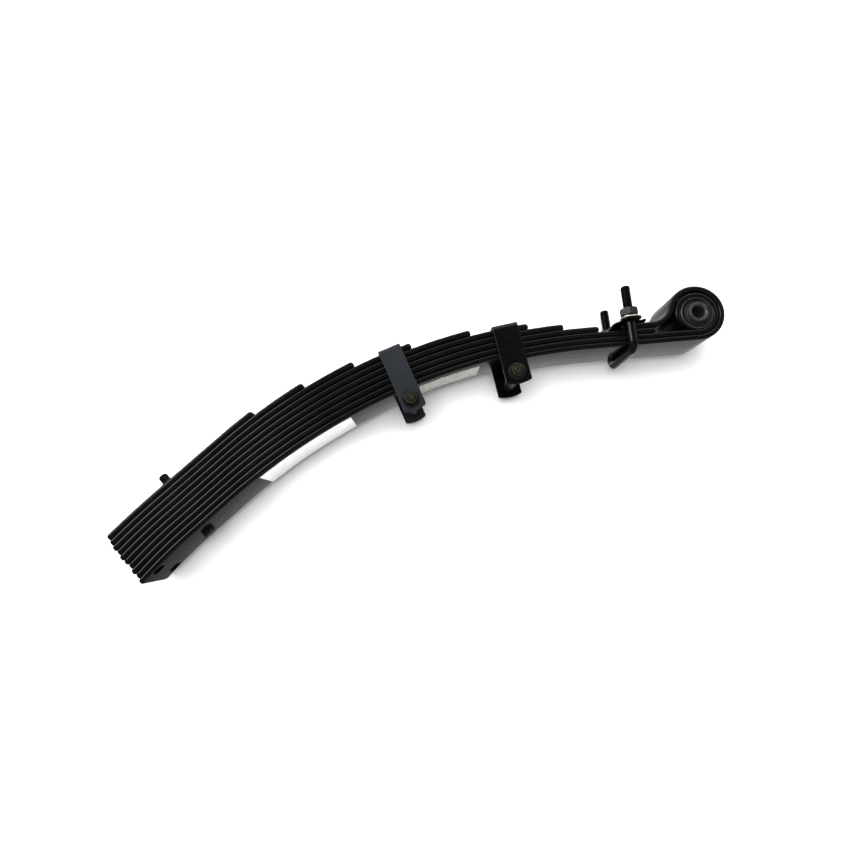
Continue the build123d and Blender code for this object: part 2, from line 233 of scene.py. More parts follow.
def rounded_bar(thickness, width, radius, steps=5):
    """Outline of a rounded flat bar, as (across the thickness, across the width)."""
    outline = []
    corners = [(1, 1, 0), (-1, 1, 90), (-1, -1, 180), (1, -1, 270)]
    for sign_n, sign_c, first in corners:
        for k in range(steps + 1):
            angle = radians(first + 90 * k / steps)
            outline.append(
                (
                    sign_n * (thickness / 2 - radius) + radius * cos(angle),
                    sign_c * (width / 2 - radius) + radius * sin(angle),
                )
            )
    return outline


def circle(radius, count=32):
    """Outline of a round bar."""
    return [(radius * cos(2 * pi * k / count), radius * sin(2 * pi * k / count)) for k in range(count)]


def walk(start, heading, steps, spacing):
    """Stations (a, b, heading, distance) along runs of (length, turn in degrees)."""
    a, b = start
    heading = radians(heading)
    distance = 0.0
    stations = [(a, b, heading, distance)]
    for length, turn in steps:
        count = max(1, ceil(max(length / spacing, abs(turn) / 5.0)))
        curve = radians(turn) / count
        chord = length / count
        if abs(curve) > 1e-9:
            chord = 2 * (length / radians(turn)) * sin(curve / 2)
        for _ in range(count):
            a += chord * cos(heading + curve / 2)
            b += chord * sin(heading + curve / 2)
            heading += curve
            distance += length / count
            stations.append((a, b, heading, distance))
    return stations


def arc(radius, turn):
    """A run that turns by an angle at a radius."""
    return (radius * radians(abs(turn)), turn)


def rings_along(matrix, stations, outline, change=None):
    """Rings of an outline carried along stations; change(n, c, distance, index) may reshape them."""
    rings = []
    for a, b, heading, distance in stations:
        ring = []
        for index, (n, c) in enumerate(outline):
            if change:
                n, c = change(n, c, distance, index)
            ring.append(matrix @ Vector((a - n * sin(heading), b + n * cos(heading), c)))
        rings.append(ring)
    return rings


def end_rounding(total, radius):
    """Reshapes the outline near both ends of a bar, so that its ends are rounded over."""

    def change(n, c, distance, index):
        near = min(distance, total - distance)
        inset = radius - sqrt(max(radius**2 - max(radius - near, 0.0) ** 2, 0.0))
        return (
            n - inset * (1 if n > 0 else -1),
            c - inset * (1 if c > 0 else -1),
        )

    return change


def skin(rings, loop=False):
    """Vertices and faces through rings of equal length, capped at both ends or closed into a loop."""
    count = len(rings[0])
    verts = [p for ring in rings for p in ring]
    faces = []
    spans = len(rings) if loop else len(rings) - 1
    for r in range(spans):
        first = r * count
        second = (r + 1) % len(rings) * count
        for k in range(count):
            after = (k + 1) % count
            faces.append((first + k, first + after, second + after, second + k))
    if not loop:
        faces.append(tuple(reversed(range(count))))
        faces.append(tuple((len(rings) - 1) * count + k for k in range(count)))
    return verts, faces


def piece(name, shape, material, sharp=40):
    """A finished mesh object from vertices in millimetres."""
    verts, faces = shape
    mesh = bpy.data.meshes.new(name)
    mesh.from_pydata([tuple(v * MM) for v in verts], [], faces)
    mesh.validate()
    mesh.materials.append(material)
    obj = bpy.data.objects.new(name, mesh)
    bpy.context.scene.collection.objects.link(obj)
    turn_outward(mesh)
    mesh.shade_smooth()
    mesh.set_sharp_from_angle(angle=radians(sharp))
    return obj


def turn_outward(mesh):
    """Flips a closed mesh that was wound inside out."""
    volume = 0.0
    for face in mesh.polygons:
        corners = [mesh.vertices[i].co for i in face.vertices]
        for k in range(1, len(corners) - 1):
            volume += corners[0].dot(corners[k].cross(corners[k + 1]))
    if volume < 0:
        mesh.flip_normals()


def join_shapes(shapes):
    """Several vertex and face lists as one."""
    verts = []
    faces = []
    for more_verts, more_faces in shapes:
        base = len(verts)
        verts += more_verts
        faces += [tuple(i + base for i in face) for face in more_faces]
    return verts, faces


def revolve(matrix, profile, count=48, loop=True):
    """Turns (radius, height) points about the matrix's z axis; a loop closes into a ring."""
    rings = []
    for radius, height in profile:
        rings.append([matrix @ Vector((radius * c, radius * s, height)) for c, s in circle(1.0, count)])
    return skin(rings, loop=loop)


def hexagon(matrix, flats, height, bore=0.0, count=72):
    """A hexagon nut or bolt head with turned chamfers, standing on the matrix's xy plane."""
    turned = flats / 2 * 0.96
    slope = tan(radians(28))
    rings = []

    def ring(radii, heights):
        around = zip(circle(1.0, count), radii, heights)
        rings.append([matrix @ Vector((r * c, r * s, height)) for (c, s), r, height in around])

    walls = []
    for k in range(count):
        off = (k * 360.0 / count + 30.0) % 60.0 - 30.0
        walls.append(min(flats / 2 / cos(radians(off)), flats / 2 * 1.135))
    drop = [max(wall - turned, 0.0) * slope for wall in walls]
    if bore > 0:
        ring([bore] * count, [0.9] * count)
        ring([bore + 0.9] * count, [0.0] * count)
    ring([turned] * count, [0.0] * count)
    ring(walls, drop)
    ring(walls, [height - d for d in drop])
    ring([turned] * count, [height] * count)
    if bore > 0:
        ring([bore + 0.9] * count, [height] * count)
        ring([bore] * count, [height - 0.9] * count)
    return skin(rings, loop=bore > 0)


def thread_radius(radius, pitch, along, angle, depth):
    """Radius of a thread with flat crests and roots, at a distance along it and an angle round it."""
    phase = (along / pitch - angle / (2 * pi)) % 1.0
    ramp = abs(2 * phase - 1)
    return radius - depth * min(max(1.35 * ramp - 0.1, 0.0), 1.0)


def threaded_stud(matrix, radius, start, end, pitch, thread_start, count=36):
    """A round bar along z whose last stretch is threaded, with a chamfered point."""
    heights = [start]
    height = thread_start
    while height < end - 0.05:
        heights.append(height)
        height += pitch / THREAD_STEPS
    heights.append(end)
    rings = []
    depth = pitch * 0.6
    for height in heights:
        ring = []
        for k in range(count):
            angle = 2 * pi * k / count
            here = radius
            if height > thread_start:
                blend_in = min((height - thread_start) / pitch, 1.0)
                here = thread_radius(radius, pitch, height, angle, depth * blend_in)
            here = min(here, radius - POINT_CHAMFER + (end - height))
            ring.append(matrix @ Vector((here * cos(angle), here * sin(angle), height)))
        rings.append(ring)
    return skin(rings)


def stud_frame(base, height, across=0.0):
    """Frame whose z axis points away from the leaves, at a height over the main leaf's centre line."""
    outward = base.col[1].to_3d()
    along_axis = base.col[0].to_3d()
    across_axis = along_axis.cross(outward)
    origin = base @ Vector((0, height, across))
    return matrix_of(origin, across_axis.cross(outward) * -1, across_axis, outward)


def across_frame(base, height, flip=False):
    """Frame whose z axis runs across the leaves, at a height over the main leaf's centre line."""
    origin = base @ Vector((0, height, 0))
    along = base.col[0].to_3d()
    outward = base.col[1].to_3d()
    if flip:
        return matrix_of(origin, along, -outward, Vector((0, 0, -1)))
    return matrix_of(origin, along, outward, Vector((0, 0, 1)))


# ---------------------------------------------------------------- materials


def new_material(name):
    """A node material with its shader and a shared object-space coordinate."""
    material = bpy.data.materials.new(name)
    material.use_nodes = True
    nodes = material.node_tree.nodes
    shader = nodes["Principled BSDF"]
    coordinate = nodes.new("ShaderNodeTexCoord")
    return material, nodes, material.node_tree.links, shader, coordinate.outputs["Object"]


def noise_node(nodes, links, where, scale, detail):
    """Noise in object space."""
    made = nodes.new("ShaderNodeTexNoise")
    made.inputs["Scale"].default_value = scale
    made.inputs["Detail"].default_value = detail
    made.inputs["Roughness"].default_value = 0.55
    links.new(where, made.inputs["Vector"])
    return made.outputs["Fac"]


def ramp_node(nodes, links, source, stops):
    """Colour ramp through (position, grey or colour) stops."""
    made = nodes.new("ShaderNodeValToRGB")
    elements = made.color_ramp.elements
    while len(elements) < len(stops):
        elements.new(0.5)
    for element, (position, colour) in zip(elements, stops):
        element.position = position
        element.color = (*colour, 1.0) if isinstance(colour, tuple) else (colour, colour, colour, 1.0)
    links.new(source, made.inputs["Fac"])
    return made.outputs["Color"]


def mix_colours(nodes, links, factor, first, second):
    """Mix of two colours; either may be a socket or a constant."""
    made = nodes.new("ShaderNodeMix")
    made.data_type = "RGBA"
    links.new(factor, made.inputs["Factor"])
    for name, value in (("A", first), ("B", second)):
        sockets = [s for s in made.inputs if s.name == name and s.type == "RGBA"]
        if isinstance(value, tuple):
            sockets[0].default_value = (*value, 1.0)
        else:
            links.new(value, sockets[0])
    return [s for s in made.outputs if s.type == "RGBA"][0]


def bump_chain(nodes, links, shader, layers):
    """Bump from several (height socket, strength, distance) layers."""
    previous = None
    for height, strength, distance in layers:
        bump = nodes.new("ShaderNodeBump")
        bump.inputs["Strength"].default_value = strength
        bump.inputs["Distance"].default_value = distance
        links.new(height, bump.inputs["Height"])
        if previous:
            links.new(previous, bump.inputs["Normal"])
        previous = bump.outputs["Normal"]
    links.new(previous, shader.inputs["Normal"])


def paint(name, base, dusty, rough, coat, peel):
    """Sprayed black paint: slight orange peel, cloudy gloss and a little settled dust."""
    material, nodes, links, shader, where = new_material(name)
    clouds = noise_node(nodes, links, where, 22.0, 4.0)
    specks = noise_node(nodes, links, where, 2600.0, 2.0)
    dust = ramp_node(nodes, links, specks, [(0.68, 0.0), (0.76, 1.0)])
    tone = ramp_node(nodes, links, clouds, [(0.3, base), (0.75, dusty)])
    colour = mix_colours(nodes, links, dust, tone, (0.10, 0.10, 0.105))
    links.new(colour, shader.inputs["Base Color"])
    gloss = ramp_node(nodes, links, clouds, [(0.3, rough[0]), (0.75, rough[1])])
    links.new(gloss, shader.inputs["Roughness"])
    shader.inputs["Coat Weight"].default_value = coat[0]
    shader.inputs["Coat Roughness"].default_value = coat[1]
    shader.inputs["Specular IOR Level"].default_value = 0.35
    fine = noise_node(nodes, links, where, 520.0, 2.0)
    broad = noise_node(nodes, links, where, 70.0, 2.0)
    bump_chain(nodes, links, shader, [(broad, 0.25, 0.0006), (fine, peel, 0.00012)])
    return material


def metal(name, base, light, rough):
    """Plain or plated steel with a cloudy tone and small marks."""
    material, nodes, links, shader, where = new_material(name)
    shader.inputs["Metallic"].default_value = 0.6
    clouds = noise_node(nodes, links, where, 240.0, 5.0)
    tone = ramp_node(nodes, links, clouds, [(0.3, base), (0.7, light)])
    links.new(tone, shader.inputs["Base Color"])
    gloss = ramp_node(nodes, links, clouds, [(0.25, rough[0]), (0.75, rough[1])])
    links.new(gloss, shader.inputs["Roughness"])
    marks = noise_node(nodes, links, where, 1500.0, 3.0)
    bump_chain(nodes, links, shader, [(marks, 0.25, 0.0001)])
    return material


def rubber_material():
    """Moulded black rubber with a faint bloom."""
    material, nodes, links, shader, where = new_material("bush_rubber")
    bloom = noise_node(nodes, links, where, 130.0, 4.0)
    tone = ramp_node(nodes, links, bloom, [(0.35, (0.010, 0.010, 0.010)), (0.8, (0.030, 0.030, 0.031))])
    links.new(tone, shader.inputs["Base Color"])
    gloss = ramp_node(nodes, links, bloom, [(0.3, 0.42), (0.8, 0.62)])
    links.new(gloss, shader.inputs["Roughness"])
    grain = noise_node(nodes, links, where, 1900.0, 2.0)
    bump_chain(nodes, links, shader, [(grain, 0.3, 0.0001)])
    return material


def label_material(name, base, edge, rough, coat, ink):
    """Printed film: faint mottling, and rows of generic ink marks when there is any ink."""
    material, nodes, links, shader, where = new_material(name)
    mottle = noise_node(nodes, links, where, 60.0, 4.0)
    tone = ramp_node(nodes, links, mottle, [(0.3, base), (0.75, edge)])
    split = nodes.new("ShaderNodeSeparateXYZ")
    links.new(where, split.inputs["Vector"])
    rows_per_metre = 130.0
    across = nodes.new("ShaderNodeMath")
    across.operation = "MULTIPLY"
    across.inputs[1].default_value = rows_per_metre
    links.new(split.outputs["Z"], across.inputs[0])
    row = nodes.new("ShaderNodeMath")
    row.operation = "FRACT"
    links.new(across.outputs[0], row.inputs[0])
    lines = ramp_node(nodes, links, row.outputs[0], [(0.30, 0.0), (0.36, 1.0), (0.66, 1.0), (0.72, 0.0)])
    words = noise_node(nodes, links, where, 420.0, 1.0)
    marks = ramp_node(nodes, links, words, [(0.44, 0.0), (0.50, 1.0)])
    printed = nodes.new("ShaderNodeMath")
    printed.operation = "MULTIPLY"
    links.new(lines, printed.inputs[0])
    links.new(marks, printed.inputs[1])
    weight = nodes.new("ShaderNodeMath")
    weight.operation = "MULTIPLY"
    weight.inputs[1].default_value = ink
    links.new(printed.outputs[0], weight.inputs[0])
    colour = mix_colours(nodes, links, weight.outputs[0], tone, (0.06, 0.06, 0.06))
    links.new(colour, shader.inputs["Base Color"])
    gloss = ramp_node(nodes, links, mottle, [(0.3, rough), (0.8, rough + 0.12)])
    links.new(gloss, shader.inputs["Roughness"])
    shader.inputs["Coat Weight"].default_value = coat
    shader.inputs["Coat Roughness"].default_value = 0.12
    fibre = noise_node(nodes, links, where, 320.0, 3.0)
    bump_chain(nodes, links, shader, [(fibre, 0.15, 0.00015)])
    return material


leaf_paint = paint(
    "leaf_paint",
    base=(0.004, 0.004, 0.0043),
    dusty=(0.007, 0.007, 0.0073),
    rough=(0.20, 0.27),
    coat=(0.2, 0.08),
    peel=0.10,
)
clip_paint = paint(
    "clip_paint",
    base=(0.016, 0.018, 0.021),
    dusty=(0.023, 0.026, 0.030),
    rough=(0.34, 0.46),
    coat=(0.10, 0.30),
    peel=0.18,
)
clip_gloss = paint(
    "clip_gloss",
    base=(0.003, 0.003, 0.0033),
    dusty=(0.006, 0.006, 0.0063),
    rough=(0.16, 0.24),
    coat=(0.4, 0.06),
    peel=0.10,
)
hardware_paint = paint(
    "hardware_paint",
    base=(0.008, 0.008, 0.009),
    dusty=(0.017, 0.017, 0.018),
    rough=(0.30, 0.42),
    coat=(0.35, 0.18),
    peel=0.14,
)
dark_steel = metal("dark_steel", (0.018, 0.019, 0.017), (0.052, 0.054, 0.049), rough=(0.28, 0.44))
bolt_steel = metal("bolt_steel", (0.020, 0.020, 0.015), (0.075, 0.070, 0.045), rough=(0.24, 0.40))
zinc = metal("zinc", (0.62, 0.62, 0.52), (0.84, 0.84, 0.74), rough=(0.18, 0.32))
bush_steel = metal("bush_steel", (0.055, 0.055, 0.058), (0.12, 0.12, 0.125), rough=(0.28, 0.42))
rubber = rubber_material()
white_label = label_material(
    "white_label", base=(0.93, 0.93, 0.94), edge=(0.97, 0.97, 0.98), rough=0.30, coat=0.5, ink=0.0
)
silver_label = label_material(
    "silver_label", base=(0.42, 0.415, 0.375), edge=(0.55, 0.545, 0.50), rough=0.40, coat=0.2, ink=0.85
)


# ---------------------------------------------------------------- leaves


def bend_of(a, b):
    """How far round the main leaf's bend a point is, in degrees."""
    return degrees(atan2(a - BEND_CENTRE.x, b - BEND_CENTRE.y))


def leaf_rings(start, heading, steps, reshape):
    """Stations and rings of one leaf, closer together where its ends are rounded over."""
    total = sum(length for length, _ in steps)
    stations = walk(start, heading, steps, 4.0)
    extra = []
    for inset in (0.1, 0.35, 0.8, 1.4, 2.1):
        extra.append(station_at(stations, inset))
        extra.append(station_at(stations, total - inset))
    stations = sorted(stations + extra, key=lambda station: station[3])
    return stations, rings_along(Matrix.Identity(4), stations, bar_outline, reshape(total))


def station_at(stations, distance):
    """Station between two others, at a distance from the start."""
    for before, after in zip(stations, stations[1:]):
        if after[3] >= distance:
            part = (distance - before[3]) / max(after[3] - before[3], 1e-9)
            return tuple(p + (q - p) * part for p, q in zip(before, after))
    return stations[-1]


def rough_edges(seed, droop=0.0):
    """Rolled edges wander slightly, both ends are rounded over, and the clamped end may droop."""

    def for_length(total):
        rounded = end_rounding(total, LEAF_END)

        def change(n, c, distance, index):
            n, c = rounded(n, c, distance, index)
            place = Vector((distance * WANDER_RATE, seed * 7.3, 1.0 if c > 0 else 9.0))
            wander = EDGE_WANDER * noise.noise(place)
            sag = droop * max(1.0 - distance / FREE_END, 0.0) ** 2
            return n - sag, c + (wander if c > 0 else -wander)

        return change

    return for_length


bar_outline = rounded_bar(LEAF_THICKNESS, LEAF_WIDTH, LEAF_EDGE)
# Stretches over which the leaves bend on each side of the front clip
ROOT_BLEND = (point_at(45.0), point_at(249.0))
TIP_BLEND = (point_at(276.0), point_at(366.0))
FRONT_CLIP_BEND = CLIPS[0][2]


def drill(obj, centres, radius):
    """Cuts round holes through the leaf along Y at (x, z) centres in millimetres."""
    cutters = []
    for x, z in centres:
        profile = [(radius, -20.0), (radius, 20.0)]
        toward = Matrix.Translation((x, HALF_THICKNESS, z)) @ UP_FROM_SEAT
        cutters.append(revolve(toward, profile, 40, loop=False))
    tool = piece("drill", join_shapes(cutters), obj.data.materials[0])
    cut = obj.modifiers.new("holes", "BOOLEAN")
    cut.operation = "DIFFERENCE"
    cut.solver = "EXACT"
    cut.object = tool
    bpy.context.view_layer.update()
    result = bpy.data.meshes.new_from_object(obj.evaluated_get(bpy.context.evaluated_depsgraph_get()))
    obj.modifiers.clear()
    obj.data = result
    obj.data.set_sharp_from_angle(angle=radians(40))
    bpy.data.objects.remove(tool)


def bending_pair(node, stations, rings):
    """One leaf as two pieces that meet under the front clip."""
    bends = [bend_of(a, b) if b > BEND_CENTRE.y else 90.0 for a, b, _, _ in stations]
    cut = next((k for k, bend in enumerate(bends) if bend > FRONT_CLIP_BEND), len(rings) - 1)
    root = piece(f"{node}_root", skin(rings[: cut + 1]), leaf_paint)
    if node == "main_leaf":
        drill(root, [(END_HOLE_X, END_HOLE_Z), (END_HOLE_X, -END_HOLE_Z)], END_HOLE_RADIUS)
    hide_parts(node)
    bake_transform(root)
    if cut < len(rings) - 1:
        tip = piece(f"{node}_tip", skin(rings[cut:]), leaf_paint)
        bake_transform(tip)


def make_leaves():
    """The main leaf with its eye, and the nine stepped leaves."""
    main_steps = [
        (CLAMPED_LENGTH + SEAT_STRAIGHT, 0),
        arc(MAIN_RADIUS, -MAIN_BEND),
        (EYE_RUN, 0),
        arc(EYE_RADIUS, EYE_TURN),
    ]
    stations, rings = leaf_rings((-CLAMPED_LENGTH, HALF_THICKNESS), 0, main_steps, main_reshape)
    bending_pair("main_leaf", stations, rings)
    for number, (bend, run) in enumerate(SHORT_LEAVES, start=2):
        level = number - 1
        start = (-CLAMPED_LENGTH + END_STEPS[level], HALF_THICKNESS + level * LEAF_PITCH)
        steps = [
            (SEAT_STRAIGHT + level * STRAIGHT_STEP - start[0], 0),
            arc(MAIN_RADIUS + level * RADIUS_STEP, -bend),
        ]
        if run > 0:
            steps.append((run, 0))
        droop = MAIN_DROOP + (LAST_DROOP - MAIN_DROOP) * level / len(SHORT_LEAVES)
        stations, rings = leaf_rings(start, 0, steps, rough_edges(level, droop))
        bending_pair(f"leaf_{number}", stations, rings)


def main_reshape(total):
    """The main leaf's rolled tip thins towards its end, against the eye's outside."""
    taper = 15.0
    thinning = 0.62
    base = rough_edges(0, MAIN_DROOP)(total)

    def change(n, c, distance, index):
        n, c = base(n, c, distance, index)
        part = max(distance - (total - taper), 0.0) / taper
        keep = 1.0 - thinning * part
        return HALF_THICKNESS + (n - HALF_THICKNESS) * keep, c

    return change


def make_wrapper():
    """The wrapper leaf: under the main leaf, round the eye and back over the tail."""
    rise = WRAPPER_TAIL + WRAPPER_RETURN - (WRAPPER_OFFSET + WRAPPER_RADIUS)
    distance = WRAPPER_RADIUS + WRAPPER_RETURN
    turn_in = degrees(asin(rise / distance))
    tail = EYE_RUN - sqrt(distance**2 - rise**2) - WRAPPER_TIP
    base = frame_at(WRAPPER_START)
    begin = base @ Vector((0, WRAPPER_OFFSET, 0))
    steps = [
        arc(MAIN_RADIUS + WRAPPER_OFFSET, WRAPPER_START - MAIN_BEND),
        (EYE_RUN, 0),
        arc(WRAPPER_RADIUS, 270 - turn_in),
        arc(WRAPPER_RETURN, turn_in - 90),
        (tail, 0),
    ]
    stations, rings = leaf_rings((begin.x, begin.y), -WRAPPER_START, steps, rough_edges(seed=11))
    wrapper = piece("eye_wrapper_leaf", skin(rings), leaf_paint)
    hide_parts("eye_wrapper")
    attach(wrapper, "eye_end")


# ---------------------------------------------------------------- clips


def make_clips():
    """Both rebound clips with their bolts, nuts, washers, tubes and rivets."""
    for name, body, bend, level, width, bolt_height in CLIPS:
        base = frame_at(bend)
        strap_paint = clip_paint if name == "front_clip" else clip_gloss
        top = leaf_offset(level, bend) + HALF_THICKNESS + STRAP_TOP_GAP
        leg_end = bolt_height - LEG_END_DROP
        made = [
            (f"{name}_strap", strap_shape(base, top, leg_end, width), strap_paint),
            (f"{name}_bolt", clip_bolt_shape(base, bolt_height), bolt_steel),
            (f"{name}_nut", clip_nut_shape(base, bolt_height), bolt_steel),
            (f"{name}_washers", clip_washer_shape(base, bolt_height), hardware_paint),
            (f"{name}_distance_tube", tube_shape(base, bolt_height), hardware_paint),
            (f"{name}_rivet", rivet_shape(base, top + STRAP_THICKNESS), strap_paint),
        ]
        for node, shape, material in made:
            shown = piece(f"{node}_part", shape, material)
            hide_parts(node)
            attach(shown, body)


def strap_shape(base, top, leg_end, width):
    """A flat strap bent square over the leaves, with bowed leg ends."""
    across = matrix_of(base.translation, Vector((0, 0, -1)), base.col[1].to_3d(), base.col[0].to_3d())
    middle = STRAP_INNER + STRAP_THICKNESS / 2
    bend = STRAP_BEND - STRAP_THICKNESS / 2
    leg = top + STRAP_THICKNESS / 2 - bend - leg_end
    steps = [(leg, 0), arc(bend, -90), (2 * (middle - bend), 0), arc(bend, -90), (leg, 0)]
    total = sum(length for length, _ in steps)
    outline = rounded_bar(STRAP_THICKNESS, width, STRAP_EDGE)
    # Points between the corners let the leg ends bow
    flats = [width * k / 8 - width / 2 for k in range(1, 8)]
    outer = [(STRAP_THICKNESS / 2, c) for c in flats]
    inner = [(-STRAP_THICKNESS / 2, -c) for c in flats]
    half = len(outline) // 2
    dense = outline[:half] + inner + outline[half:] + outer
    stations = walk((-middle, leg_end), 90, steps, 3.0)
    close = (0.3, STRAP_END, total - STRAP_END, total - 0.3)
    stations += [station_at(stations, d) for d in close]
    stations.sort(key=lambda station: station[3])
    rounded = end_rounding(total, STRAP_END)
    rings = []
    for a, b, heading, distance in stations:
        near_end = max(1 - min(distance, total - distance) / leg, 0.0)
        ring = []
        for index, (n, c) in enumerate(dense):
            n, c = rounded(n, c, distance, index)
            lift = LEG_SAGITTA * (2 * c / width) ** 2 * near_end
            ring.append(across @ Vector((a - n * sin(heading), b + n * cos(heading) + lift, c)))
        rings.append(ring)
    return skin(rings)


def clip_bolt_shape(base, height):
    """Hexagon-headed M8 bolt across the clip, its point showing beyond the nut."""
    length = STRAP_OUTER + M8_WASHER_THICKNESS
    head_frame = across_frame(base, height, flip=True) @ Matrix.Translation((0, 0, length))
    head = hexagon(head_frame, M8_FLATS, M8_HEAD_HEIGHT)
    point = length + M8_HEIGHT + 3.5
    shank = threaded_stud(across_frame(base, height), M8_RADIUS, -length, point, M8_PITCH, length - 4.0)
    return join_shapes([head, shank])


def clip_nut_shape(base, height):
    """M8 nut on the near side."""
    seat = Matrix.Translation((0, 0, STRAP_OUTER + M8_WASHER_THICKNESS))
    return hexagon(across_frame(base, height) @ seat, M8_FLATS, M8_HEIGHT, M8_BORE)


def clip_washer_shape(base, height):
    """A flat washer on each side of the strap."""
    profile = ring_profile(M8_WASHER_RADIUS, M8_CLEARANCE, 0.0, M8_WASHER_THICKNESS, 0.25)
    seat = Matrix.Translation((0, 0, STRAP_OUTER))
    sides = [across_frame(base, height, flip) @ seat for flip in (False, True)]
    return join_shapes([revolve(side, profile) for side in sides])


def ring_profile(outer, inner, low, high, ease):
    """Closed profile of a flat ring with eased edges."""
    return [
        (inner, low + ease),
        (inner + ease, low),
        (outer - ease, low),
        (outer, low + ease),
        (outer, high - ease),
        (outer - ease, high),
        (inner + ease, high),
        (inner, high - ease),
    ]


def tube_shape(base, height):
    """Distance tube between the strap's legs."""
    half = STRAP_INNER - 0.05
    return revolve(across_frame(base, height), ring_profile(TUBE_RADIUS, M8_CLEARANCE, -half, half, 0.4))


def rivet_shape(base, height):
    """Domed rivet head on the bridge; its profile stops just short of the axis."""
    dome = (RIVET_RADIUS**2 + RIVET_RISE**2) / (2 * RIVET_RISE)
    profile = [(RIVET_RADIUS - 0.4, 0.02), (RIVET_RADIUS, 0.3)]
    for k in range(1, 9):
        angle = asin(RIVET_RADIUS / dome) * (1 - k / 8.3)
        profile.append((dome * sin(angle), dome * cos(angle) - dome + RIVET_RISE))
    return revolve(stud_frame(base, height), profile, loop=False)


# ---------------------------------------------------------------- U-bolt and plate


def make_u_bolt():
    """The small U-bolt with its cranked plate, washers and nuts."""
    base = frame_at(MAIN_BEND, U_RUN)
    spring_foot = M10_WASHER_THICKNESS
    nut_foot = spring_foot + SPRING_WASHER_THICKNESS
    made = [
        ("u_bolt", u_bolt_shape(base), clip_gloss),
        ("clamp_plate", plate_shape(), clip_gloss),
        ("u_bolt_flat_washers", both_legs(base, flat_washer_shape, 0.0), zinc),
        ("u_bolt_spring_washers", both_legs(base, spring_washer_shape, spring_foot), hardware_paint),
        ("u_bolt_nuts", both_legs(base, u_nut_shape, nut_foot), dark_steel),
    ]
    for node, shape, material in made:
        shown = piece(f"{node}_part", shape, material)
        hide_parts(node)
        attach(shown, "eye_end")


def u_bolt_shape(base):
    """Round bar bent square under the leaves, with both legs threaded."""
    across = matrix_of(base.translation, Vector((0, 0, -1)), base.col[1].to_3d(), base.col[0].to_3d())
    straight = U_TOP - U_BOTTOM - U_BEND
    pitch = M10_PITCH
    threaded = [(pitch / THREAD_STEPS, 0)] * int(U_THREAD * THREAD_STEPS / pitch)
    plain = [(straight - len(threaded) * pitch / THREAD_STEPS, 0)]
    bridge = [arc(U_BEND, 90), (2 * (U_LEG - U_BEND), 0), arc(U_BEND, 90)]
    steps = threaded + plain + bridge + plain + threaded
    total = sum(length for length, _ in steps)
    count = 32

    def thread(n, c, distance, index):
        from_end = min(distance, total - distance)
        angle = 2 * pi * index / count
        here = M10_RADIUS
        if from_end < U_THREAD:
            depth = U_THREAD_DEPTH * min((U_THREAD - from_end) / pitch, 1.0)
            here = thread_radius(M10_RADIUS, pitch, distance, angle, depth)
        here = min(here, M10_RADIUS - POINT_CHAMFER + from_end)
        return here * cos(angle), here * sin(angle)

    stations = walk((-U_LEG, U_TOP), -90, steps, 3.0)
    return skin(rings_along(across, stations, circle(M10_RADIUS, count), thread))


def both_legs(base, shape, height):
    """The same piece on each of the U-bolt's legs."""
    legs = [stud_frame(base, PLATE_TOP + height, side * U_LEG) for side in (-1, 1)]
    return join_shapes([shape(leg) for leg in legs])


def flat_washer_shape(matrix):
    """Zinc-plated flat washer."""
    profile = ring_profile(M10_WASHER_RADIUS, M10_CLEARANCE, 0.0, M10_WASHER_THICKNESS, 0.25)
    return revolve(matrix, profile)


def spring_washer_shape(matrix):
    """Split spring washer of rectangular section, its ends a little apart in height."""
    rings = []
    gap = 4.0
    count = 40
    inner = M10_CLEARANCE
    outer = SPRING_WASHER_RADIUS
    low = 0.2
    high = SPRING_WASHER_THICKNESS - low
    corners = [(inner, low), (outer, low), (outer, high), (inner, high)]
    for k in range(count + 1):
        angle = radians(gap + (360 - 2 * gap) * k / count)
        lift = 0.25 * (k / count - 0.5)
        rings.append([matrix @ Vector((r * cos(angle), r * sin(angle), h + lift)) for r, h in corners])
    return skin(rings)


def u_nut_shape(matrix):
    """M10 nut, turned a little as it was tightened."""
    return hexagon(matrix @ Matrix.Rotation(radians(12), 4, "Z"), M10_FLATS, M10_HEIGHT, M10_BORE)


def plate_shape():
    """Cranked plate: flat under the nuts, foot turned down to the leaves, far end lifted."""
    tail = frame_at(MAIN_BEND)
    middle = PLATE_BOTTOM + PLATE_THICKNESS / 2
    outline = rounded_bar(PLATE_THICKNESS, LEAF_WIDTH, 0.7)
    flat_start, flat_end = PLATE_FLAT
    steps = [
        (PLATE_TAB, 0),
        arc(PLATE_LIFT_RADIUS, -PLATE_LIFT_TURN),
        (flat_end - flat_start, 0),
        arc(PLATE_FOOT_RADIUS, PLATE_FOOT_TURN),
        (PLATE_FOOT_RUN, 0),
    ]
    lift = radians(PLATE_LIFT_TURN)
    start_a = flat_end + PLATE_LIFT_RADIUS * sin(lift) + PLATE_TAB * cos(lift)
    start_b = middle + PLATE_LIFT_RADIUS * (1 - cos(lift)) + PLATE_TAB * sin(lift)
    stations = walk((start_a, start_b), 180.0 + PLATE_LIFT_TURN, steps, 2.0)
    total = stations[-1][3]
    stations += [station_at(stations, d) for d in (0.2, 0.5, total - 0.5, total - 0.2)]
    stations.sort(key=lambda station: station[3])
    strip = skin(rings_along(tail, stations, outline, end_rounding(total, 0.6)))
    ears = [ear_shape(side) for side in (-1, 1)]
    return join_shapes([strip] + ears)


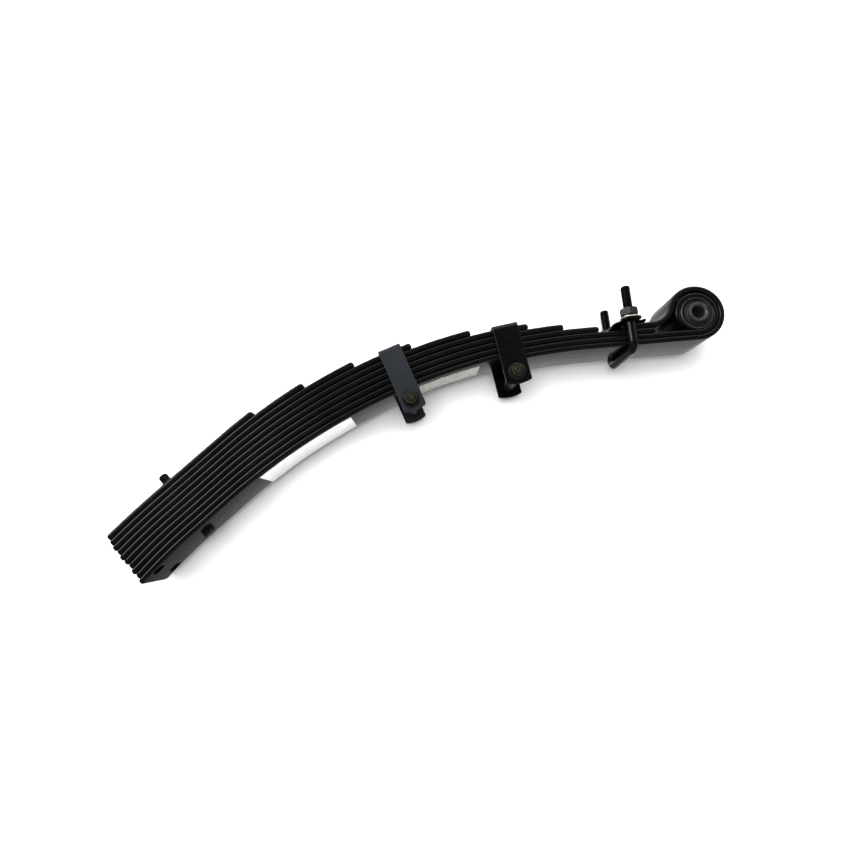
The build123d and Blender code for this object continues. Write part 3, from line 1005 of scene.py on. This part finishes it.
def ear_shape(side):
    """A rounded ear of the plate round one of the U-bolt's legs."""
    tail = frame_at(MAIN_BEND)
    reach = U_LEG + EAR_REACH
    inner = HALF_WIDTH - 4.0
    corners = [
        (EAR_HALF - EAR_CORNER, reach - EAR_CORNER, 0),
        (EAR_CORNER - EAR_HALF, reach - EAR_CORNER, 90),
    ]
    levels = [(0.0, PLATE_EDGE), (PLATE_EDGE, 0.0), (PLATE_THICKNESS - PLATE_EDGE, 0.0)]
    levels.append((PLATE_THICKNESS, PLATE_EDGE))
    rings = []
    for height, inset in levels:
        ring = []
        for centre_a, centre_c, first in corners:
            for k in range(9):
                angle = radians(first + 90 * k / 8)
                a = centre_a + (EAR_CORNER - inset) * cos(angle)
                c = centre_c + (EAR_CORNER - inset) * sin(angle)
                ring.append((a, c))
        ring += [(-EAR_HALF + inset, inner), (EAR_HALF - inset, inner)]
        rings.append([tail @ Vector((U_RUN + a, PLATE_BOTTOM + height, side * c)) for a, c in ring])
    return skin(rings)


# ---------------------------------------------------------------- centre bolt, bush, labels


def make_centre_bolt():
    """Locating head under the seat; nut and thread above the pack."""
    rim = CENTRE_HEAD_RADIUS
    foot = -CENTRE_HEAD_HEIGHT
    profile = [
        (AXIS_GAP, foot),
        (rim - 0.8, foot),
        (rim - 0.25, foot + 0.2),
        (rim, foot + 0.7),
        (rim, -0.4),
        (rim - 0.2, 0.0),
        (M10_RADIUS, 0.0),
    ]
    head = revolve(UP_FROM_SEAT, profile, loop=False)
    shank = threaded_stud(UP_FROM_SEAT, M10_RADIUS, -0.5, CENTRE_BOLT_TOP, M10_PITCH, 58.0)
    bolt = piece("centre_bolt_part", join_shapes([head, shank]), hardware_paint)
    nut_frame = UP_FROM_SEAT @ Matrix.Translation((0, 0, CENTRE_NUT_FOOT))
    nut_shape = hexagon(nut_frame, M10_FLATS, M10_HEIGHT, M10_BORE)
    nut = piece("centre_nut_part", nut_shape, hardware_paint)
    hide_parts("centre_bolt")
    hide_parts("centre_nut")
    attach(bolt, "clamped_end")
    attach(nut, "clamped_end")


def make_bush():
    """Steel shell, bonded rubber with moulded lips, and the inner sleeve."""
    axis = across_frame(frame_at(MAIN_BEND, EYE_RUN), EYE_RADIUS)
    shell_profile = ring_profile(SHELL_OUTER, SHELL_INNER, -HALF_WIDTH, HALF_WIDTH, 0.5)
    shell = piece("bush_shell_part", revolve(axis, shell_profile, 96), bush_steel)
    soft = piece("bush_rubber_part", revolve(axis, rubber_outline(), 96), rubber, sharp=55)
    lead_in = 1.2
    edge = 0.5
    half_profile = [
        (SLEEVE_BORE, SLEEVE_HALF - lead_in),
        (SLEEVE_BORE + lead_in, SLEEVE_HALF),
        (SLEEVE_OUTER - edge, SLEEVE_HALF),
        (SLEEVE_OUTER, SLEEVE_HALF - edge),
    ]
    lower_half = [(radius, -height) for radius, height in half_profile]
    sleeve_profile = lower_half + half_profile[::-1]
    sleeve = piece("bush_sleeve_part", revolve(axis, sleeve_profile, 96), bush_steel)
    for shown, node, body in (
        (shell, "bush_shell", "eye_end"),
        (soft, "bush_rubber", "eye_end"),
        (sleeve, "bush_sleeve", "bush_sleeve"),
    ):
        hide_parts(node)
        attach(shown, body)


def rubber_outline():
    """Rubber section: raised lips beside the sleeve and the shell, with a hollow between."""
    inner = SLEEVE_OUTER + RUBBER_GAP
    outer = SHELL_INNER - RUBBER_GAP
    upper = []
    for k in range(13):
        part = k / 12
        radius = inner + (outer - inner) * part
        height = RUBBER_HALF - RUBBER_HOLLOW * sin(pi * part) ** 1.5
        upper.append((radius, height))
    return upper + [(radius, -height) for radius, height in reversed(upper)]


def make_labels():
    """A blank white label and a silver one on the concave face."""
    blank = make_label("blank_label", bends=(3.3, 13.4), width=53.0, shift=-2.5, material=white_label)
    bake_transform(blank)
    printed = make_label("print_label", bends=(20.6, 26.8), width=36.0, shift=1.0, material=silver_label)
    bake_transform(printed)


def make_label(node, bends, width, shift, material):
    """A thin film on the main leaf's concave face, between two bends of it."""
    first, last = bends
    offset = -HALF_THICKNESS - 0.2
    begin = frame_at(first) @ Vector((0, offset, 0))
    stations = walk((begin.x, begin.y), -first, [arc(MAIN_RADIUS + offset, first - last)], 2.5)
    outline = [(n, c + shift) for n, c in rounded_bar(0.3, width, 0.1, 2)]
    rings = rings_along(Matrix.Identity(4), stations, outline)
    label = piece(f"{node}_part", skin(rings), material)
    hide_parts(node)
    return label


make_leaves()
make_wrapper()
make_clips()
make_u_bolt()
make_centre_bolt()
make_bush()
make_labels()


# ---------------------------------------------------------------- floor, light and camera


def make_stage():
    """White floor under the spring."""
    low = cad_box[0][2]
    mesh = bpy.data.meshes.new("floor")
    size = 6.0
    corners = [(-size, -size, low), (size, -size, low), (size, size, low), (-size, size, low)]
    mesh.from_pydata(corners, [], [(0, 1, 2, 3)])
    floor = bpy.data.objects.new("floor", mesh)
    bpy.context.scene.collection.objects.link(floor)
    white = bpy.data.materials.new("floor")
    white.use_nodes = True
    shader = white.node_tree.nodes["Principled BSDF"]
    shader.inputs["Base Color"].default_value = (0.92, 0.92, 0.92, 1)
    shader.inputs["Roughness"].default_value = 0.9
    mesh.materials.append(white)
    floor.visible_glossy = False


def make_world():
    """A light tent: bright on the convex side of the spring, dark overhead, grey from below."""
    world = bpy.data.worlds.new("studio")
    world.use_nodes = True
    nodes = world.node_tree.nodes
    links = world.node_tree.links
    where = nodes.new("ShaderNodeTexCoord")
    split = nodes.new("ShaderNodeSeparateXYZ")
    links.new(where.outputs["Generated"], split.inputs["Vector"])
    tent = ramp_node(nodes, links, split.outputs["Z"], [(0.0, 0.6), (0.3, 0.9), (0.62, 1.0), (0.80, 0.03)])
    facing = nodes.new("ShaderNodeVectorMath")
    facing.operation = "DOT_PRODUCT"
    facing.inputs[1].default_value = (0.55, 0.83, 0.0)
    links.new(where.outputs["Generated"], facing.inputs[0])
    side = ramp_node(nodes, links, facing.outputs["Value"], [(0.0, 0.14), (0.45, 1.0)])
    above = nodes.new("ShaderNodeMix")
    above.data_type = "RGBA"
    above.blend_type = "MULTIPLY"
    above.inputs["Factor"].default_value = 1.0
    links.new(tent, above.inputs[6])
    links.new(side, above.inputs[7])
    lift = nodes.new("ShaderNodeMath")
    lift.operation = "MULTIPLY_ADD"
    lift.inputs[1].default_value = 0.8
    lift.inputs[2].default_value = 0.42
    links.new(split.outputs["X"], lift.inputs[0])
    below = ramp_node(nodes, links, lift.outputs[0], [(0.15, 0.17), (0.50, 0.54)])
    depth = ramp_node(nodes, links, split.outputs["Z"], [(0.0, 0.0), (0.03, 1.0)])
    both = nodes.new("ShaderNodeMix")
    both.data_type = "RGBA"
    links.new(depth, both.inputs["Factor"])
    links.new(below, both.inputs[6])
    links.new(above.outputs[2], both.inputs[7])
    links.new(both.outputs[2], nodes["Background"].inputs["Color"])
    nodes["Background"].inputs["Strength"].default_value = 1.0
    bpy.context.scene.world = world


def soft_light(name, place, aim, size, power, mirrored):
    """A square area light at a place, aimed at a point, seen or not in glossy surfaces."""
    data = bpy.data.lights.new(name, "AREA")
    data.size = size
    data.energy = power
    lamp = bpy.data.objects.new(name, data)
    lamp.location = place
    lamp.visible_glossy = mirrored
    lamp.rotation_euler = (Vector(aim) - Vector(place)).to_track_quat("-Z", "Y").to_euler()
    bpy.context.scene.collection.objects.link(lamp)


def make_camera():
    """Camera above the near side face, looking down and a little towards the convex side."""
    data = bpy.data.cameras.new("camera")
    data.sensor_width = 36.0
    data.lens = 23.93
    data.clip_start = 0.01
    camera = bpy.data.objects.new("camera", data)
    camera.location = (0.1722, -0.1536, 0.6171)
    camera.rotation_euler = (radians(10.07), radians(-0.19), radians(-42.87))
    bpy.context.scene.collection.objects.link(camera)
    bpy.context.scene.camera = camera


make_stage()
make_world()
middle = (0.24, -0.05, 0.0)
soft_light("overhead", (0.32, 0.42, 2.0), middle, 1.5, 56.0, False)
soft_light("front", (-0.5, -1.5, 1.0), middle, 1.6, 18.0, False)
soft_light("back", (-0.45, 1.6, 1.2), middle, 1.4, 15.0, True)
make_camera()
bpy.context.scene.view_settings.view_transform = "Standard"
bpy.context.scene.view_settings.look = "Medium High Contrast"
